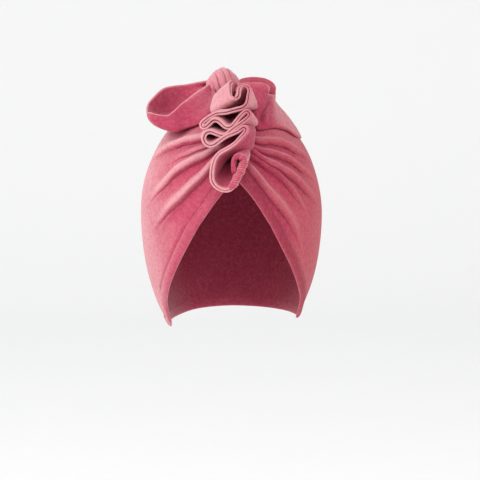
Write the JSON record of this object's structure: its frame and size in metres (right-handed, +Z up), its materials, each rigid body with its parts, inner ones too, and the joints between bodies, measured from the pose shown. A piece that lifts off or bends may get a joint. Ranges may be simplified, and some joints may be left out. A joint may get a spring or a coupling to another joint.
{
  "type": "baby turban headwrap",
  "caption": "Soft velour turban for a baby's head: gathered cap with an open face, a pleated upright ruffle over the forehead and a knotted bow with two cupped ears on the crown.",
  "frame": {"origin": "inside of the crown's top, where the turban sits on the head", "axes": "+Z up, -Y to the front of the face, +X to the wearer's left, which is the viewer's right"},
  "size_m": [0.1308, 0.1804, 0.1885],
  "materials": {
    "cap_velour": "matt dusty rose velour, pile paler where light grazes it",
    "hem_velour": "the same velour turned under, ribbed by its seam",
    "ruffle_velour": "doubled velour with pale raw edges",
    "knot_velour": "pleated velour",
    "ear_velour": "velour, deeper inside the cups"
  },
  "bodies": {
    "root": {"crown_cap": "cap_velour", "rolled_hem": "hem_velour", "front_ruffle": "ruffle_velour", "bow_knot": "knot_velour", "bow_ear_left": "ear_velour", "bow_ear_right": "ear_velour"}
  },
  "joints": []
}
